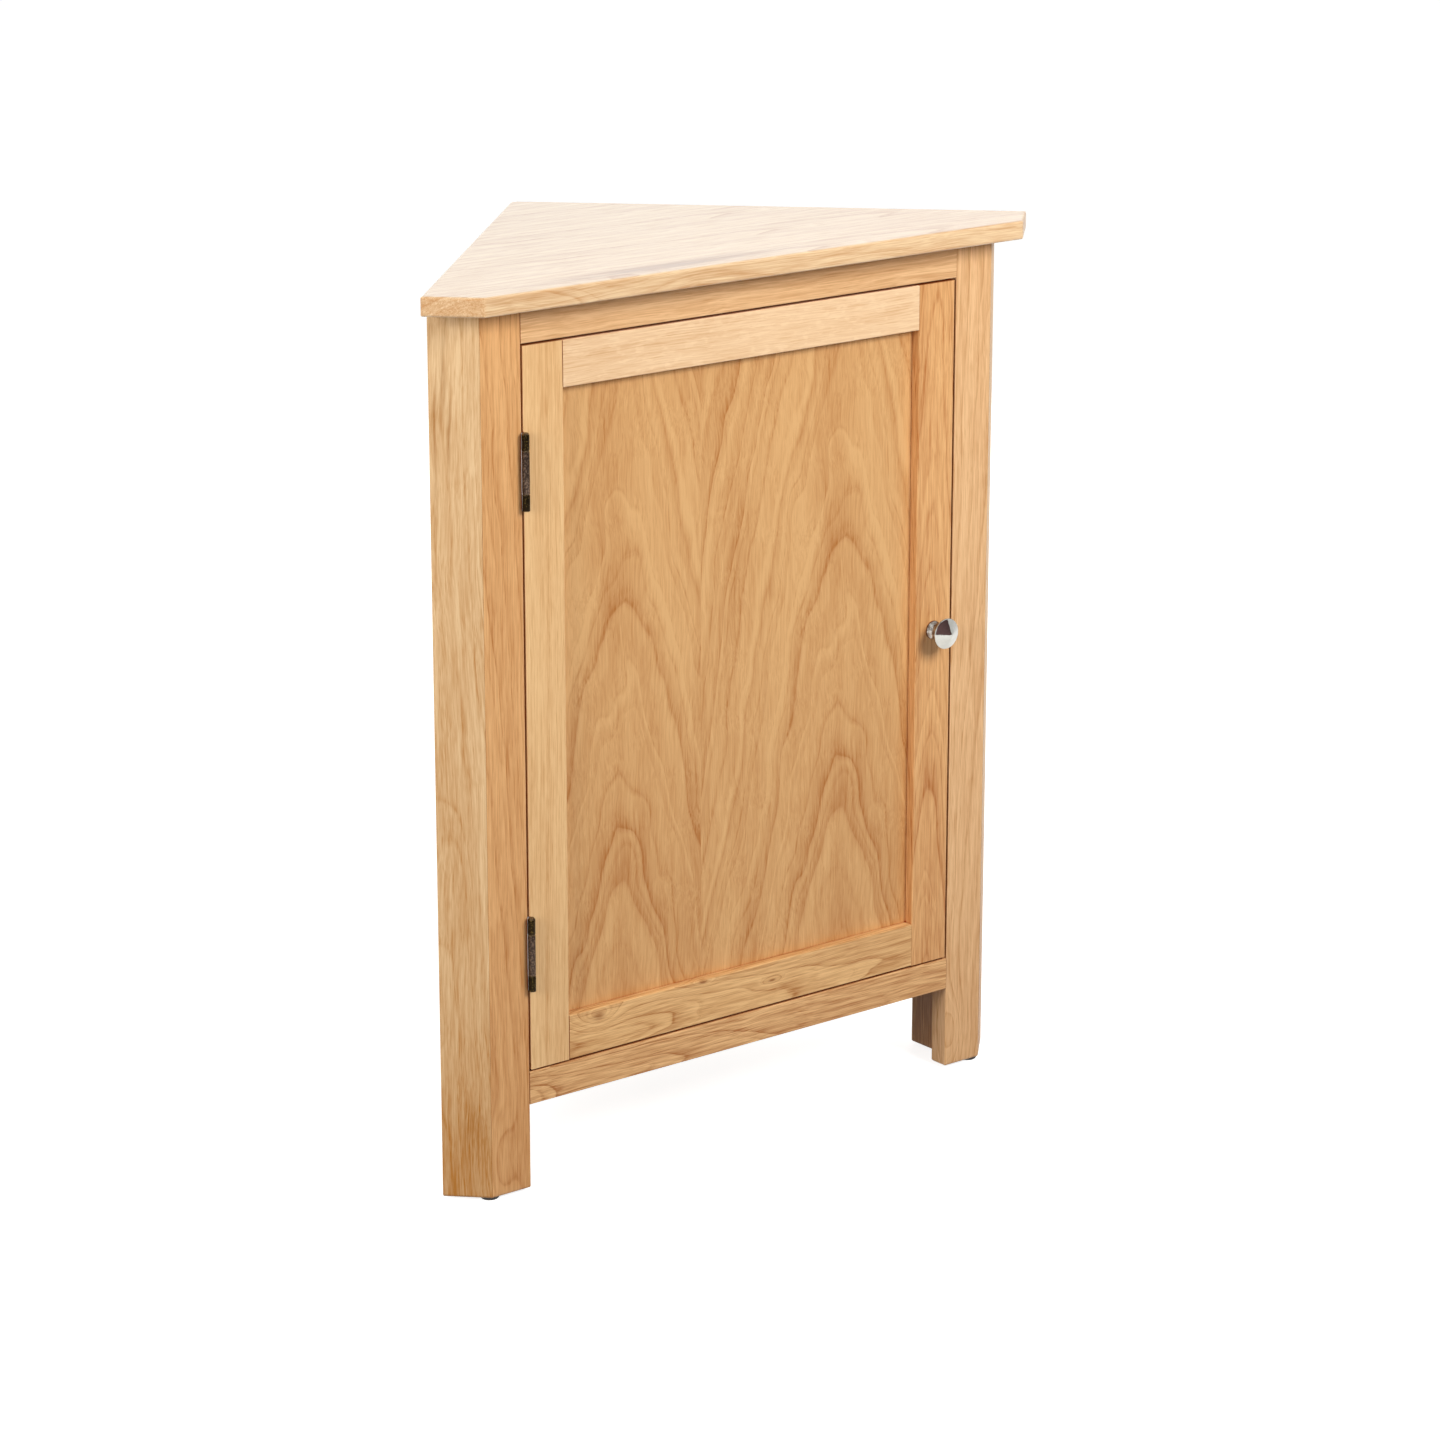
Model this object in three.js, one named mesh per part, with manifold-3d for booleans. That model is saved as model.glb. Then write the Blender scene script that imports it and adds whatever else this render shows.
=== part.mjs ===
// Corner cupboard in oak: a five-sided top on two angled front posts and a rear post,
// panelled wall sides, one shelf, and one framed door on a pair of butt hinges.
// Millimetres, +Z up. The front faces -Y and the two wall sides meet at +Y.
import * as THREE from 'three';
import { mergeVertices } from 'three/addons/utils/BufferGeometryUtils.js';
import Module from 'manifold-3d';

const wasm = await Module();
wasm.setup();

// Overall sizes and the angle between the front and each return face
const height = 850;
const openingWidth = 510;
const openingBottom = 117;
const postWidth = 44;
const returnWidth = 46.5;
const cornerAngle = Math.PI / 4;

// Top board
const topThickness = 18;
const topFrontOverhang = 28.5;
const topReturnOverhang = 30;
const topEase = 2.5;
const apexFlat = 8;

// Posts, rails and wall sides
const stileThickness = 20;
const legReveal = 21;
const rearPostWidth = 40;
const footChamfer = 2.5;
const topRailHeight = 34;
const bottomRailHeight = 32;
const tenonLength = 15;
const tenonThickness = 8;
const tenonShoulder = 5;
const battenThickness = 20;
const battenHeight = 30;
const panelThickness = 9;
const panelInset = 1;
const boardEase = 1.2;
const stopHeight = 46;
const stopThickness = 16;
const topScrewFrontShare = 0.25;
const topScrewRearShare = 0.8;

// Floor board, shelf and its pegs
const floorThickness = 15;
const floorDrop = 2;
const shelfThickness = 18;
const shelfLevelShare = 0.48;
const shelfSetback = 30;
const pegRadius = 2.5;
const pegReach = 11;
const pegDepth = 10;
const pegSetback = 12.5;

// Door
const doorGap = 2;
const doorThickness = 20;
const doorStileWidth = 44;
const doorRailHeight = 43;
const doorPanelThickness = 6;
const doorPanelRecess = 10;
const grooveDepth = 9;
const panelPlay = 1;

// Butt hinges
const hingeLength = 70;
const hingeEndDistance = 78;
const knuckleRadius = 4;
const middleKnuckleLength = 39;
const pinRadius = 1.6;
const pinTip = 1.4;
const pinTipRadius = 2.6;
const leafThickness = 1;
const leafRecess = 0.6;
const leafDepth = 14;
const leafScrewShare = 0.62;

// Knob, a turned head on a flared stem
const knobHeadRadius = 15;
const knobRimThickness = 2.4;
const knobConeHeight = 3.6;
const knobBackHeight = 6;
const knobNeckRadius = 4.4;
const knobBaseRadius = 8.8;
const knobStemLength = 15;
// Outlines as [share of a radius, share of a length], from the door outwards
const knobFlareShares = [[1, 0], [1, 0.1], [0.8, 0.3], [0.58, 0.52], [0.5, 0.75]];
const knobBackShares = [[0.75, 0.62], [1, 1]];
const knobRimShares = [[1, 0], [0.985, 0.12], [0.94, 0.24]];
const knobTipShares = [[0.15, 0.985], [0, 1]];

// Magnetic catch and its plate
const catchWidth = 46;
const catchDepth = 15;
const catchHeight = 13;
const magnetWidth = 26;
const magnetHeight = 8;
const magnetReach = 1;
const magnetLengthShare = 0.6;
const platePlay = 0.4;
const plateWidth = 34;
const plateHeight = 13;
const plateThickness = 1.2;
const catchInset = 48;

// Glides under the feet
const glideRadius = 9;
const glideHeight = 3;
const glideInset = 11;
const glideRimShare = 0.4;

// Screws: a countersunk head, a shank and a slot
const screwHeadRadius = 2.9;
const screwHeadHeight = 1.7;
const screwShankRadius = 1.4;
const screwLength = 13;
const slotWidth = 0.8;
const slotDepth = 0.5;
const longScrewLength = 40;
const longScrewHeadRadius = 4;
const longScrewHeadHeight = 2.6;
const longScrewShankRadius = 2;
const knobScrewLength = 27;
const catchScrewLength = 22;
const screwTipShare = 1.5;
const screwPointShare = 0.3;
const screwRimShare = 0.15;

// Fits and working values
const glueGap = 0.2;
const fitGap = 0.3;
const boreGap = 0.15;
const knuckleGap = 0.3;
const overrun = 60;
const mergeTolerance = 1e-4;
const easeSteps = 3;
const screwSteps = 12;
const roundSteps = 16;
const fineSteps = 32;

// Places worked out from the sizes above
const halfOpening = openingWidth / 2;
const cornerX = halfOpening + postWidth;
const wallCornerX = cornerX + returnWidth * Math.cos(cornerAngle);
const wallCornerY = returnWidth * Math.sin(cornerAngle);
const wallRunAngle = Math.PI / 2 + cornerAngle;
const wallRun = new THREE.Vector2(Math.cos(wallRunAngle), Math.sin(wallRunAngle));
const wallInward = new THREE.Vector2(-wallRun.y, wallRun.x);
const wallLength = -wallCornerX / wallRun.x;
const apexY = wallCornerY + wallLength * wallRun.y;
const apexHalfAngle = Math.PI / 2 - Math.atan2(wallRun.y, -wallRun.x);
const apexBackY = apexY - (apexFlat / 2) / Math.tan(apexHalfAngle);
const underTop = height - topThickness;
const openingTop = underTop - topRailHeight;
const floorTop = openingBottom - floorDrop;
const floorBottom = floorTop - floorThickness;
const legFaceX = halfOpening + legReveal;
const panelBack = panelInset + panelThickness;
const shelfBottom = floorTop + (underTop - floorTop) * shelfLevelShare;
const doorLeft = -halfOpening + doorGap;
const doorRight = halfOpening - doorGap;
const doorBottom = openingBottom + doorGap;
const doorTop = openingTop - doorGap;
const pinX = (-halfOpening + doorLeft) / 2;
const pinY = -knuckleRadius - fitGap;
const knobX = doorRight - doorStileWidth / 2;
const knobZ = (doorBottom + doorTop) / 2;
const catchX = doorRight - catchInset;

const oak = () => new THREE.MeshStandardMaterial({ color: 0xd9a468, roughness: 0.55, metalness: 0 });
const paleOak = () => new THREE.MeshStandardMaterial({ color: 0xdfb27c, roughness: 0.6, metalness: 0 });
const bronze = () => new THREE.MeshStandardMaterial({ color: 0x3a2c22, roughness: 0.45, metalness: 0.9 });
const chrome = () => new THREE.MeshStandardMaterial({ color: 0xd8d9da, roughness: 0.1, metalness: 1 });
const steel = () => new THREE.MeshStandardMaterial({ color: 0xa8a8a4, roughness: 0.35, metalness: 1 });
const brass = () => new THREE.MeshStandardMaterial({ color: 0xb08d4a, roughness: 0.3, metalness: 1 });
const darkPlastic = () => new THREE.MeshStandardMaterial({ color: 0x2b2521, roughness: 0.6, metalness: 0 });
const palePlastic = () => new THREE.MeshStandardMaterial({ color: 0xe6e2d8, roughness: 0.5, metalness: 0 });

// A closed outline through corners [x, y, ease]. A corner with an ease is rounded.
function outline(corners) {
  const shape = new THREE.Shape();
  corners.forEach(([x, y, ease = 0], index) => {
    const [beforeX, beforeY] = corners[(index + corners.length - 1) % corners.length];
    const [afterX, afterY] = corners[(index + 1) % corners.length];
    const corner = new THREE.Vector2(x, y);
    const towards = (endX, endY) => corner.clone().add(
      new THREE.Vector2(endX - x, endY - y).setLength(ease));
    const enter = ease ? towards(beforeX, beforeY) : corner;
    if (index === 0) shape.moveTo(enter.x, enter.y);
    else shape.lineTo(enter.x, enter.y);
    if (ease) {
      const leave = towards(afterX, afterY);
      shape.quadraticCurveTo(x, y, leave.x, leave.y);
    }
  });
  shape.closePath();
  return shape;
}

// An outline pulled straight up by a length.
function prism(corners, length) {
  return new THREE.ExtrudeGeometry(outline(corners), {
    depth: length, bevelEnabled: false, curveSegments: easeSteps });
}

// An outline pulled up by a length, with the edges of both its end faces eased.
function easedPrism(corners, length, ease) {
  const sharpCorners = corners.map(([x, y]) => [x, y]);
  const sharp = new THREE.ExtrudeGeometry(outline(sharpCorners), {
    depth: length - 2 * ease,
    bevelThickness: ease,
    bevelSize: ease,
    bevelOffset: -ease,
    bevelSegments: easeSteps,
  });
  return trim(tool(sharp.translate(0, 0, ease)), tool(prism(corners, length))).geometry;
}

// A rectangle's corners about a middle, all with one ease.
function rectangle(width, depth, ease = 0, middleX = 0, middleY = 0) {
  return [[-1, -1], [1, -1], [1, 1], [-1, 1]].map(([sideX, sideY]) => [
    middleX + sideX * width / 2, middleY + sideY * depth / 2, ease]);
}

// A turned piece about the Z axis, from [radius, height] points that start and end on the axis.
function turned(points, steps) {
  return new THREE.LatheGeometry(points.map(([radius, z]) => new THREE.Vector2(radius, z)), steps)
    .rotateX(Math.PI / 2);
}

function piece(name, geometry, material, x = 0, y = 0, z = 0) {
  const mesh = new THREE.Mesh(geometry, material);
  mesh.name = name;
  mesh.position.set(x, y, z);
  return mesh;
}

// A tool for cutting or joining: a shape in a place, without a name or a finish.
function tool(geometry, x = 0, y = 0, z = 0) {
  return piece('', geometry, null, x, y, z);
}

function manifoldOf(mesh, frameInverse) {
  mesh.updateMatrix();
  const geometry = mesh.geometry.clone();
  geometry.applyMatrix4(frameInverse.clone().multiply(mesh.matrix));
  geometry.deleteAttribute('normal');
  geometry.deleteAttribute('uv');
  const merged = mergeVertices(geometry, mergeTolerance);
  return new wasm.Manifold(new wasm.Mesh({
    numProp: 3,
    vertProperties: new Float32Array(merged.attributes.position.array),
    triVerts: new Uint32Array(merged.index.array),
  }));
}

// Cuts, joins or trims a mesh in place. Both meshes stand in the same group.
function combine(target, other, how) {
  target.updateMatrix();
  const frameInverse = target.matrix.clone().invert();
  const solid = manifoldOf(target, frameInverse)[how](manifoldOf(other, frameInverse));
  const result = solid.getMesh();
  const geometry = new THREE.BufferGeometry();
  geometry.setAttribute('position', new THREE.BufferAttribute(result.vertProperties, result.numProp));
  geometry.setIndex(new THREE.BufferAttribute(result.triVerts, 1));
  geometry.computeVertexNormals();
  target.geometry = geometry;
  return target;
}

const cut = (target, other) => combine(target, other, 'subtract');
const join = (target, other) => combine(target, other, 'add');
const trim = (target, other) => combine(target, other, 'intersect');

// A place on a wall side, at a run along it from the return face and a depth inward.
// side is 1 for the right wall and -1 for the left.
function onWall(side, run, depth) {
  return [
    side * (wallCornerX + run * wallRun.x + depth * wallInward.x),
    wallCornerY + run * wallRun.y + depth * wallInward.y,
  ];
}

// The run at which a line at one depth from the wall reaches a place across the front.
function runAtX(x, depth) {
  return (x - wallCornerX - depth * wallInward.x) / wallRun.x;
}

const facing = { up: [0, 0, 1], down: [0, 0, -1], front: [0, -1, 0], back: [0, 1, 0], left: [-1, 0, 0],
  right: [1, 0, 0] };

// Turns a piece made about the Z axis so that its top end looks in a direction.
function aim(mesh, direction) {
  const towards = new THREE.Vector3(...direction).normalize();
  mesh.quaternion.setFromUnitVectors(new THREE.Vector3(...facing.up), towards);
  return mesh;
}

// A section drawn in Y and Z, run along X from its own zero.
function alongX(mesh) {
  mesh.quaternion.set(1, 1, 1, 1).normalize();
  return mesh;
}

// A slotted countersunk screw. Its head's face is at zero and looks up.
function screwShape(headRadius, headHeight, shankRadius, length, play = 0) {
  const tip = shankRadius * screwTipShare;
  const face = play ? overrun : 0;
  return turned([
    [0, -length - play],
    [shankRadius * screwPointShare + play, -length - play],
    [shankRadius + play, -length + tip - play],
    [shankRadius + play, -headHeight - play],
    [headRadius + play, -headHeight * screwRimShare],
    [headRadius + play, face],
    [0, face],
  ], screwSteps);
}

function screw(name, material, place, direction, sizes) {
  const made = piece(name, screwShape(...sizes), material, ...place);
  aim(made, direction);
  const headRadius = sizes[0];
  const slot = tool(new THREE.BoxGeometry(headRadius * 3, slotWidth, slotDepth * 2), ...place);
  slot.quaternion.copy(made.quaternion);
  return cut(made, slot);
}

// Makes room for a screw in each piece that it passes through.
function drillFor(made, sizes, ...pieces) {
  const room = tool(screwShape(...sizes, boreGap), ...made.position);
  room.quaternion.copy(made.quaternion);
  pieces.forEach((drilled) => cut(drilled, room));
}

const smallScrew = [screwHeadRadius, screwHeadHeight, screwShankRadius, screwLength];
const catchScrew = [screwHeadRadius, screwHeadHeight, screwShankRadius, catchScrewLength];
const longScrew = [longScrewHeadRadius, longScrewHeadHeight, longScrewShankRadius, longScrewLength];
const knobScrewSizes = [longScrewHeadRadius, longScrewHeadHeight, longScrewShankRadius, knobScrewLength];

const carcase = new THREE.Group();
const door = new THREE.Group();

// Top board: front edge, two return edges and two edges against the walls.
function topBoard() {
  const frontX = cornerX + topReturnOverhang / Math.sin(cornerAngle)
    - topFrontOverhang / Math.tan(cornerAngle);
  const reach = wallCornerX + topReturnOverhang * Math.sin(cornerAngle);
  const sideY = wallCornerY - topReturnOverhang * Math.cos(cornerAngle);
  const flat = apexFlat / 2;
  return piece('worktop', easedPrism([
    [-frontX, -topFrontOverhang, topEase],
    [frontX, -topFrontOverhang, topEase],
    [reach, sideY, topEase],
    [flat, apexBackY],
    [-flat, apexBackY],
    [-reach, sideY, topEase],
  ], topThickness, topEase), oak(), 0, 0, underTop);
}

// Everything above the underside of the top board.
function aboveTheCarcase() {
  const across = 2 * (wallCornerX + overrun);
  return tool(new THREE.BoxGeometry(across, across, 2 * overrun), 0, 0, underTop + overrun);
}

// One front post is glued up from a front stile, a return stile and a leg behind them.
// The whole post is eased and its foot chamfered first, and then it is parted at the glue lines.
function frontPost(side, label) {
  const bottom = glideHeight;
  const mitreX = cornerX - stileThickness * Math.tan(cornerAngle / 2);
  const mitre = new THREE.Vector2(mitreX - cornerX, stileThickness).normalize();
  const outX = cornerX - mitre.x * overrun;
  const outY = -mitre.y * overrun;
  const legEnd = runAtX(legFaceX, panelBack);
  const whole = () => {
    const blank = tool(easedPrism([
      [side * halfOpening, 0, boardEase],
      [side * cornerX, 0, boardEase],
      [...onWall(side, 0, 0), boardEase],
      onWall(side, legEnd, 0),
      onWall(side, legEnd, panelBack),
      [side * legFaceX, stileThickness],
      [side * halfOpening, stileThickness],
    ], underTop - bottom + overrun, footChamfer), 0, 0, bottom);
    return cut(blank, aboveTheCarcase());
  };
  const part = (name, corners) => {
    const made = whole();
    made.name = name;
    made.material = oak();
    return trim(made, tool(prism(corners, underTop + overrun)));
  };
  const behind = stileThickness + glueGap;
  const runAtBehind = (depth) => (behind - wallCornerY - depth * wallInward.y) / wallRun.y;
  const innerDepth = (behind - wallCornerY - behind * wallRun.y) / wallInward.y;
  const half = glueGap / 2;
  const stile = part(`front_stile_${label}`, [
    [side * (halfOpening - overrun), -overrun],
    [side * (outX - half), outY],
    [side * (mitreX - half), stileThickness],
    [side * (halfOpening - overrun), stileThickness],
  ]);
  const returned = part(`return_stile_${label}`, [
    [side * (outX + half), outY],
    onWall(side, -overrun, -overrun),
    onWall(side, stileThickness, -overrun),
    onWall(side, stileThickness, returnWidth - stileThickness * Math.tan(cornerAngle / 2) - half),
  ]);
  const leg = part(`corner_leg_${label}`, [
    [side * (legFaceX - overrun), behind],
    onWall(side, runAtBehind(innerDepth), innerDepth),
    onWall(side, behind, -overrun),
    onWall(side, legEnd + overrun, -overrun),
    [side * (legFaceX - overrun), apexY],
  ]);
  return { stile, returned, leg };
}

// Square post in the corner of the room, with its back edge flattened.
function rearPost() {
  const flat = apexFlat / 2;
  const face = wallLength - rearPostWidth;
  const [sideX, sideY] = onWall(1, face, 0);
  const [, innerY] = onWall(1, face, rearPostWidth);
  const blank = piece('rear_post', easedPrism([
    [0, innerY, boardEase],
    [sideX, sideY, boardEase],
    [flat, apexBackY],
    [-flat, apexBackY],
    [-sideX, sideY, boardEase],
  ], underTop - glideHeight + overrun, footChamfer), oak(), 0, 0, glideHeight);
  return cut(blank, aboveTheCarcase());
}

// A rail between the front stiles, with a stub tenon at each end.
function frontRail(name, bottom, railHeight) {
  const length = openingWidth - 2 * glueGap;
  const ease = boardEase;
  const rail = alongX(piece(name, prism([
    [0, 0, ease],
    [stileThickness, 0],
    [stileThickness, railHeight],
    [0, railHeight, ease],
  ], length), oak(), -length / 2, 0, bottom));
  const tenon = tool(tenonShape(railHeight, 0), 0, stileThickness / 2, bottom + railHeight / 2);
  return join(rail, tenon);
}

// Both tenons of a rail as one bar, and with some play the room for them.
function tenonShape(railHeight, play) {
  const length = openingWidth + 2 * (tenonLength + play);
  const tenonHeight = railHeight - 2 * tenonShoulder;
  return new THREE.BoxGeometry(length, tenonThickness + 2 * play, tenonHeight + 2 * play);
}

// The hole in a stile for a rail's tenon.
function mortise(stile, bottom, railHeight) {
  cut(stile, tool(tenonShape(railHeight, fitGap), 0, stileThickness / 2, bottom + railHeight / 2));
}

// A board or batten along one wall side, between two runs at each of two depths.
function wallBoard(name, side, depths, startRuns, endRun, bottom, boardHeight, material) {
  const [outer, inner] = depths;
  return piece(name, prism([
    onWall(side, startRuns[0], outer),
    onWall(side, endRun, outer),
    onWall(side, endRun, inner),
    onWall(side, startRuns[1], inner),
  ], boardHeight), material, 0, 0, bottom);
}

// Outline shared by the floor board and the shelf: it fits round the legs and the rear post.
function insideOutline(frontY, ease) {
  const play = fitGap;
  const legX = legFaceX - play;
  const atLeg = onWall(1, runAtX(legX, panelBack + play), panelBack + play);
  const rearRun = wallLength - rearPostWidth - play;
  const atPost = onWall(1, rearRun, panelBack + play);
  const inPost = onWall(1, rearRun, rearPostWidth + play);
  const right = [[legX, frontY, ease], atLeg, atPost];
  const left = right.map(([x, ...rest]) => [-x, ...rest]).reverse();
  return [...right, [0, inPost[1]], ...left];
}

function pegShape(length, radius) {
  return new THREE.CylinderGeometry(radius, radius, length, roundSteps).rotateX(Math.PI / 2);
}

// A shelf peg, half in its leg and half under the shelf. direction points out of the leg.
function peg(name, place, direction, leg) {
  const z = shelfBottom - pegRadius;
  const length = pegReach + pegDepth;
  const along = new THREE.Vector2(...direction).normalize();
  const shift = (pegReach - pegDepth) / 2;
  const x = place[0] + along.x * shift;
  const y = place[1] + along.y * shift;
  const made = aim(piece(name, pegShape(length, pegRadius), brass(), x, y, z), [along.x, along.y, 0]);
  const room = tool(pegShape(length + 2 * boreGap, pegRadius + boreGap), x, y, z);
  room.quaternion.copy(made.quaternion);
  cut(leg, room);
  return made;
}

// A nailed glide: a low domed disc with a short spike that is left out, because it is sealed in.
function glide(name, x, y) {
  const rim = glideHeight * glideRimShare;
  return piece(name, turned([
    [0, 0], [glideRadius - rim, 0], [glideRadius, rim], [glideRadius, glideHeight], [0, glideHeight],
  ], roundSteps), darkPlastic(), x, y, 0);
}

const top = topBoard();
const right = frontPost(1, 'right');
const left = frontPost(-1, 'left');
const rear = rearPost();
const topRail = frontRail('top_rail', openingTop, topRailHeight);
const bottomRail = frontRail('bottom_rail', openingBottom - bottomRailHeight, bottomRailHeight);
[left, right].forEach((post) => {
  mortise(post.stile, openingTop, topRailHeight);
  mortise(post.stile, openingBottom - bottomRailHeight, bottomRailHeight);
});
carcase.add(top, left.stile, right.stile, left.returned, right.returned, left.leg, right.leg, rear,
  topRail, bottomRail);

// Wall sides: a panel outside, and a batten inside it at the top and under the floor board.
const battenDepths = [panelBack + glueGap, panelBack + battenThickness];
const rearRun = wallLength - rearPostWidth - glueGap;
const battenBottom = floorBottom - battenHeight;
const topBattens = {};
for (const [side, label] of [[-1, 'left'], [1, 'right']]) {
  const legRuns = battenDepths.map((depth) => runAtX(legFaceX - glueGap, depth));
  const panelRun = runAtX(legFaceX, panelBack) + glueGap;
  carcase.add(wallBoard(`wall_panel_${label}`, side, [panelInset, panelBack], [panelRun, panelRun],
    rearRun, battenBottom, underTop - battenBottom, paleOak()));
  topBattens[label] = wallBoard(`top_batten_${label}`, side, battenDepths, legRuns, rearRun,
    underTop - battenHeight, battenHeight, paleOak());
  carcase.add(topBattens[label], wallBoard(`floor_batten_${label}`, side, battenDepths, legRuns, rearRun,
    battenBottom, battenHeight, paleOak()));
}

// Floor board on the lower battens, behind the bottom rail
carcase.add(piece('floor_board', prism(insideOutline(stileThickness + glueGap, 0), floorThickness),
  paleOak(), 0, 0, floorBottom));

// Loose shelf on four pegs, two in the front legs and two in the rear post
carcase.add(piece('shelf', prism(insideOutline(stileThickness + shelfSetback, 0), shelfThickness),
  paleOak(), 0, 0, shelfBottom));
const pegFrontY = stileThickness + shelfSetback + pegSetback;
const rearFace = wallLength - rearPostWidth;
const pegRearDepth = (panelBack + rearPostWidth - pegDepth) / 2;
for (const [side, label, post] of [[-1, 'left', left], [1, 'right', right]]) {
  carcase.add(peg(`shelf_peg_front_${label}`, [side * legFaceX, pegFrontY], [-side, 0], post.leg));
  carcase.add(peg(`shelf_peg_rear_${label}`, onWall(side, rearFace, pegRearDepth),
    [-side * wallRun.x, -wallRun.y], rear));
}

// Strip behind the top rail that the door closes against
const stopWidth = 2 * (legFaceX - fitGap);
const stop = piece('door_stop', prism(rectangle(stopWidth, stopThickness, boardEase), stopHeight), paleOak(),
  0, stileThickness + fitGap + stopThickness / 2, underTop - stopHeight);
carcase.add(stop);

// Magnetic catch under the stop, and the steel plate on the door that it holds
const catchTop = underTop - stopHeight;
const catchFront = stileThickness + plateThickness + platePlay + magnetReach;
const catchMiddleY = catchFront + catchDepth / 2;
const catchShape = easedPrism(rectangle(catchWidth, catchDepth, boardEase), catchHeight, boardEase);
const catchBody = piece('catch_body', catchShape, palePlastic(), catchX, catchMiddleY, catchTop - catchHeight);
const magnetZ = catchTop - catchHeight / 2;
const magnetLength = catchDepth * magnetLengthShare;
const magnetY = catchFront - magnetReach + magnetLength / 2;
const magnetShape = (play) => new THREE.BoxGeometry(
  magnetWidth + 2 * play, magnetLength + 2 * play, magnetHeight + 2 * play);
const magnet = piece('catch_magnet', magnetShape(0), steel(), catchX, magnetY, magnetZ);
cut(catchBody, tool(magnetShape(boreGap), catchX, magnetY, magnetZ));
carcase.add(catchBody, magnet);
for (const [side, label] of [[-1, 'left'], [1, 'right']]) {
  const x = catchX + side * (magnetWidth + catchWidth) / 4;
  const place = [x, catchMiddleY, catchTop - catchHeight];
  const made = screw(`catch_screw_${label}`, steel(), place, facing.down, catchScrew);
  drillFor(made, catchScrew, catchBody, stop);
  carcase.add(made);
}

// Long screws up through the top battens into the top board
for (const [side, label] of [[-1, 'left'], [1, 'right']]) {
  [['front', topScrewFrontShare], ['rear', topScrewRearShare]].forEach(([place, share]) => {
    const [x, y] = onWall(side, wallLength * share, panelBack + battenThickness / 2);
    const z = underTop - battenHeight;
    const made = screw(`top_screw_${place}_${label}`, steel(), [x, y, z], facing.down, longScrew);
    drillFor(made, longScrew, topBattens[label], top);
    carcase.add(made);
  });
}

// Glides: one under each front post, near its visible corner, and one under the rear post
const bisector = (Math.PI - cornerAngle) / 2;
const glideFromCorner = glideInset / Math.sin(bisector);
for (const [side, label] of [[-1, 'left'], [1, 'right']]) {
  carcase.add(glide(`glide_${label}`, side * (cornerX - glideFromCorner * Math.cos(bisector)), glideInset));
}
carcase.add(glide('glide_rear', 0, (apexBackY + onWall(1, rearFace, rearPostWidth)[1]) / 2));

// Door frame: grooved stiles and rails round a loose panel
const doorHeight = doorTop - doorBottom;
const panelFront = doorPanelRecess;
const panelRear = doorPanelRecess + doorPanelThickness;
const panelMiddleY = (panelFront + panelRear) / 2;

// A grooved section: the groove is in the edge at +width, and the face at zero depth is the front.
function groovedSection(width) {
  const ease = boardEase;
  const low = panelFront - boreGap;
  const high = panelRear + boreGap;
  const floor = width - grooveDepth;
  return [
    [0, 0, ease], [width, 0, ease], [width, low], [floor, low], [floor, high], [width, high],
    [width, doorThickness, ease], [0, doorThickness, ease],
  ];
}

function doorStile(label, side) {
  const section = groovedSection(doorStileWidth).map(([x, y, ease]) => [side * x, y, ease]);
  return piece(`door_stile_${label}`, prism(section, doorHeight), oak(), side > 0 ? doorLeft : doorRight, 0,
    doorBottom);
}

// A rail between the stiles, with a stub tenon at each end that fills the stile's groove.
function doorRail(label, side) {
  const length = doorRight - doorLeft - 2 * doorStileWidth - 2 * glueGap;
  const section = groovedSection(doorRailHeight).map(([across, depth, ease]) => [depth, side * across, ease]);
  const z = side > 0 ? doorBottom : doorTop;
  const rail = alongX(piece(`door_rail_${label}`, prism(section, length), oak(), -length / 2, 0, z));
  const stubHeight = doorRailHeight - grooveDepth;
  const stubShape = new THREE.BoxGeometry(length + 2 * (grooveDepth - fitGap), doorPanelThickness, stubHeight);
  return join(rail, tool(stubShape, 0, panelMiddleY, z + side * stubHeight / 2));
}

const doorStileLeft = doorStile('left', 1);
const doorStileRight = doorStile('right', -1);
const doorRailBottom = doorRail('bottom', 1);
const doorRailTop = doorRail('top', -1);
const panelEdge = grooveDepth - panelPlay;
const panelWidth = doorRight - doorLeft - 2 * (doorStileWidth - panelEdge);
const panelHeight = doorHeight - 2 * (doorRailHeight - panelEdge);
const panelShape = new THREE.BoxGeometry(panelWidth, doorPanelThickness, panelHeight);
const doorPanel = piece('door_panel', panelShape, oak(), 0, panelMiddleY, knobZ);
door.add(doorStileLeft, doorStileRight, doorRailBottom, doorRailTop, doorPanel);

// Knob: a flared stem against the stile, a coned head on it, and a bolt from inside the door
const stretch = (shares, radius, length, start = 0) => shares.map(
  ([radiusShare, lengthShare]) => [radius * radiusShare, start + length * lengthShare]);
const knobRimEnd = knobBackHeight + knobRimThickness;
const stemShape = [
  [0, 0], ...stretch(knobFlareShares, knobBaseRadius, knobStemLength),
  [knobNeckRadius, knobStemLength], [0, knobStemLength],
];
const headShape = [
  [0, 0], [knobNeckRadius, 0], ...stretch(knobBackShares, knobHeadRadius, knobBackHeight),
  ...stretch(knobRimShares, knobHeadRadius, knobConeHeight, knobRimEnd),
  ...stretch(knobTipShares, knobHeadRadius, knobConeHeight, knobRimEnd),
];
const stemY = -glueGap;
const headY = stemY - knobStemLength - glueGap;
const stem = aim(piece('knob_stem', turned(stemShape, fineSteps), chrome(), knobX, stemY, knobZ), facing.front);
const head = aim(piece('knob_head', turned(headShape, fineSteps), chrome(), knobX, headY, knobZ), facing.front);
const knobBoltPlace = [knobX, doorThickness, knobZ];
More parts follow.
